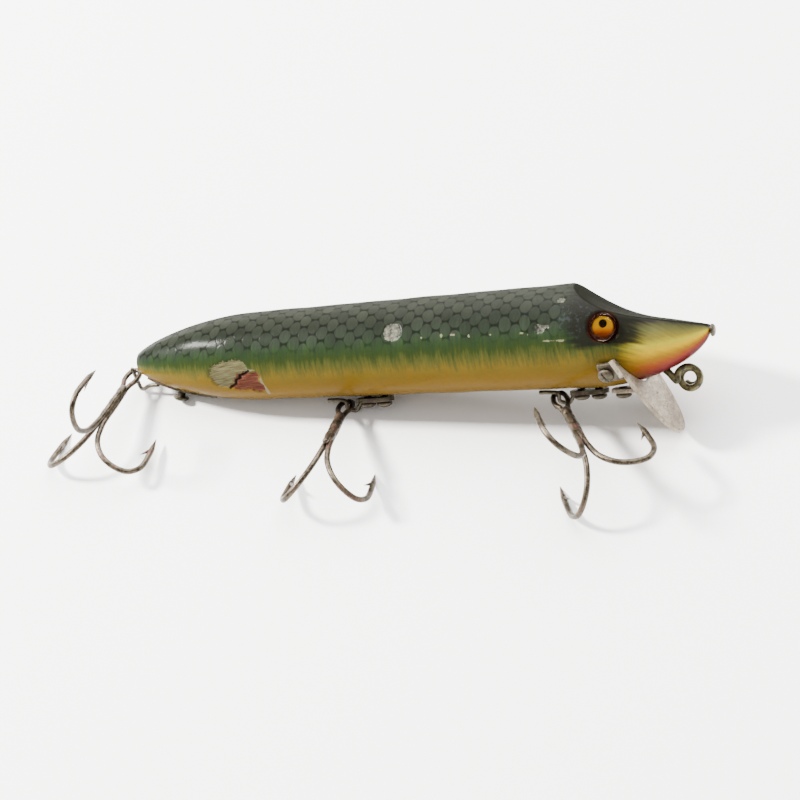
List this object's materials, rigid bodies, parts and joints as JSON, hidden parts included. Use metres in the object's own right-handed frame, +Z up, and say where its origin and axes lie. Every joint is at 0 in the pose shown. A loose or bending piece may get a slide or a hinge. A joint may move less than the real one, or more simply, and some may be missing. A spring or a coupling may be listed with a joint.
{
  "type": "fishing lure",
  "caption": "Carved wooden fish-shaped lure with glass eyes, a sloping metal diving lip under the chin, a coiled line tie and treble hooks on hangers, lying on its side.",
  "frame": {"origin": "on the surface the lure lies on, under the middle of the whole lure's box", "axes": "+X from the tail to the nose, +Z up from the surface, -Y towards the belly and the hooks"},
  "size_m": [0.1292, 0.0428, 0.024],
  "materials": {
    "painted_wood": "painted wood under a clear gloss lacquer, chipped",
    "eye_glass": "glass over a gold iris and a black pupil",
    "lip_metal": "plated sheet metal, worn and pitted",
    "tie_wire": "tarnished brassy wire",
    "hardware": "bronzed steel, rusty"
  },
  "bodies": {
    "lure_body": {"body": "painted_wood", "eye_right": "eye_glass", "eye_left": "eye_glass", "nose_pin": "hardware", "line_tie": "tie_wire", "diving_lip": "lip_metal", "front_hanger": "hardware", "middle_hanger": "hardware", "tail_hanger": "hardware", "lip_screw_right": "hardware", "lip_screw_left": "hardware", "lip_screw_belly": "hardware", "front_hanger_screw_1": "hardware", "front_hanger_screw_2": "hardware", "middle_hanger_screw_1": "hardware", "middle_hanger_screw_2": "hardware", "tail_hanger_screw": "hardware"},
    "front_hook": {"treble_front": "hardware"},
    "middle_hook": {"treble_middle": "hardware"},
    "tail_hook": {"treble_tail": "hardware"}
  },
  "joints": [
    {"name": "front_hook_swing", "type": "hinge", "parent": "lure_body", "child": "front_hook", "pos_m": [0.03498, 0.00432, 0.0055], "axis": [0, 0, 1], "range_deg": [-30, 5]},
    {"name": "middle_hook_swing", "type": "hinge", "parent": "lure_body", "child": "middle_hook", "pos_m": [-0.00708, 0.00479, 0.00206], "axis": [0, 0, 1], "range_deg": [-15, 30]},
    {"name": "tail_hook_swing", "type": "hinge", "parent": "lure_body", "child": "tail_hook", "pos_m": [-0.05189, 0.0109, 0.00325], "axis": [0, 0, 1], "range_deg": [-30, 30]}
  ]
}
